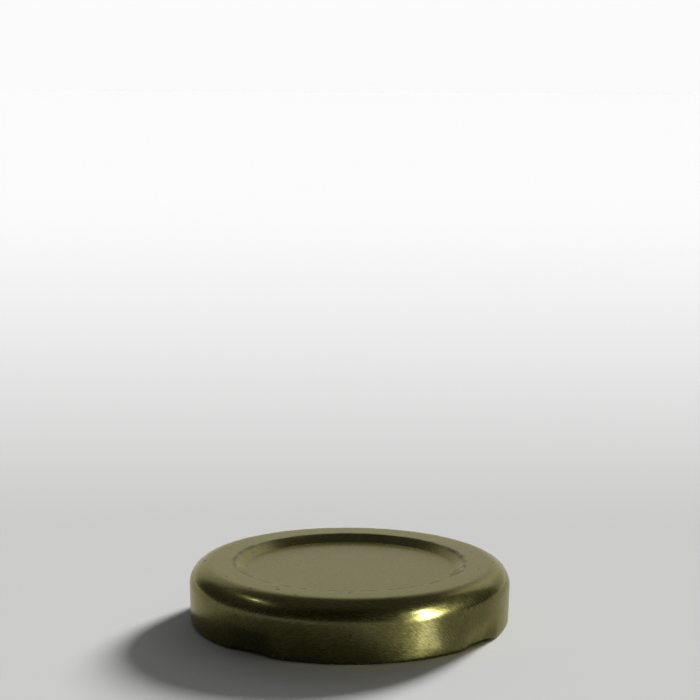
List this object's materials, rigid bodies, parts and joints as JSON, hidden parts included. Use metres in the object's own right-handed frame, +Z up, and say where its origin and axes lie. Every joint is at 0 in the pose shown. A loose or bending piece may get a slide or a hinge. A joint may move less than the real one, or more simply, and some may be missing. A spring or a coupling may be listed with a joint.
{
  "type": "twist-off jar lid",
  "caption": "Round drawn-metal lug cap with a recessed flat panel, rounded shoulder, rolled curl with inward lugs and a ring of sealing compound inside.",
  "frame": {"origin": "centre of the base plane, on the axis, where the rolled curl rests", "axes": "+Z up along the cap's axis, out of the panel; -Y towards the viewer of the picture"},
  "size_m": [0.0558, 0.0558, 0.0104],
  "materials": {
    "lacquered_tinplate": "olive-gold clear lacquer over rolled tinplate, satin with fine rolling grain",
    "sealing_compound": "off-white flowed-in compound, smooth and slightly soft"
  },
  "bodies": {
    "root": {"cap_shell": "lacquered_tinplate", "sealing_ring": "sealing_compound"}
  },
  "joints": []
}
